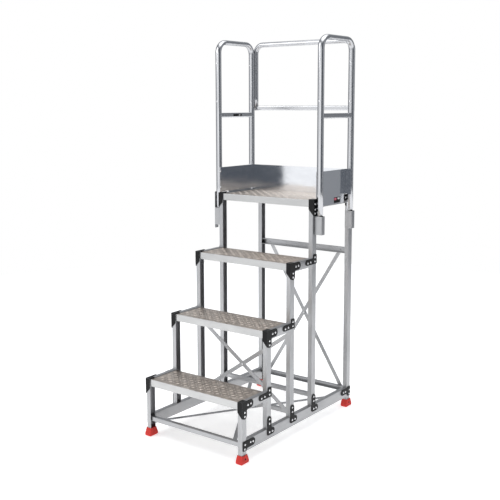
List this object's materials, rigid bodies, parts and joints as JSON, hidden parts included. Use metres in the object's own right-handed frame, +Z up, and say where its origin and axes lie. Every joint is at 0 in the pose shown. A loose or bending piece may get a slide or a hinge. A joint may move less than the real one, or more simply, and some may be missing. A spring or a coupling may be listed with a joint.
{
  "type": "stepped work platform",
  "caption": "Fixed stepped work platform of riveted aluminium tube with chequered treads, a guarded top platform with handrails on three sides, toe boards, black corner brackets and red feet.",
  "frame": {"origin": "on the floor, below the centre of the bounding box, midway between the front and rear posts", "axes": "+Z up; +Y from the first step towards the platform's back; +X to the right of a person climbing the steps"},
  "size_m": [0.701, 1.0234, 2.033],
  "materials": {
    "frame_aluminium": "mill finish extruded tube, satin with fine lengthwise drawing lines",
    "toe_board_sheet": "bright rolled sheet, nearly mirror smooth",
    "tread_plate": "chequered plate with raised bars, worn bright on the bars",
    "bracket_black": "black powder coat, low sheen",
    "foot_red": "moulded red plastic, matte"
  },
  "bodies": {
    "root": {"base_bar_front": "frame_aluminium", "base_bar_middle": "frame_aluminium", "base_bar_platform": "frame_aluminium", "base_brace_a": "frame_aluminium", "base_brace_b": "frame_aluminium", "base_rail_left": "frame_aluminium", "base_rail_right": "frame_aluminium", "corner_bracket_1_left": "bracket_black", "corner_bracket_1_right": "bracket_black", "corner_bracket_2_left": "bracket_black", "corner_bracket_2_right": "bracket_black", "corner_bracket_3_left": "bracket_black", "corner_bracket_3_right": "bracket_black", "corner_bracket_4_left": "bracket_black", "corner_bracket_4_right": "bracket_black", "foot_front_left": "foot_red", "foot_front_right": "foot_red", "foot_rear_left": "foot_red", "foot_rear_right": "foot_red", "middle_brace_a": "frame_aluminium", "middle_brace_b": "frame_aluminium", "nosing_1": "frame_aluminium", "nosing_2": "frame_aluminium", "nosing_3": "frame_aluminium", "nosing_4": "frame_aluminium", "platform_deck": "tread_plate", "post_1_left": "frame_aluminium", "post_1_right": "frame_aluminium", "post_2_left": "frame_aluminium", "post_2_right": "frame_aluminium", "post_3_left": "frame_aluminium", "post_3_right": "frame_aluminium", "post_4_left": "frame_aluminium", "post_4_right": "frame_aluminium", "post_5_left": "frame_aluminium", "post_5_right": "frame_aluminium", "rear_bar_lower": "frame_aluminium", "rear_bar_upper": "frame_aluminium", "rear_brace_a": "frame_aluminium", "rear_brace_b": "frame_aluminium", "rear_handrail": "frame_aluminium", "rear_midrail": "frame_aluminium", "side_handrail_left": "frame_aluminium", "side_handrail_right": "frame_aluminium", "side_midrail_left": "frame_aluminium", "side_midrail_right": "frame_aluminium", "side_rail_1_left": "frame_aluminium", "side_rail_1_right": "frame_aluminium", "side_rail_2_left": "frame_aluminium", "side_rail_2_right": "frame_aluminium", "side_rail_3_left": "frame_aluminium", "side_rail_3_right": "frame_aluminium", "side_rail_4_left": "frame_aluminium", "side_rail_4_right": "frame_aluminium", "toe_board_left": "toe_board_sheet", "toe_board_rear": "toe_board_sheet", "toe_board_right": "toe_board_sheet", "tread_1": "tread_plate", "tread_2": "tread_plate", "tread_3": "tread_plate"}
  },
  "joints": []
}
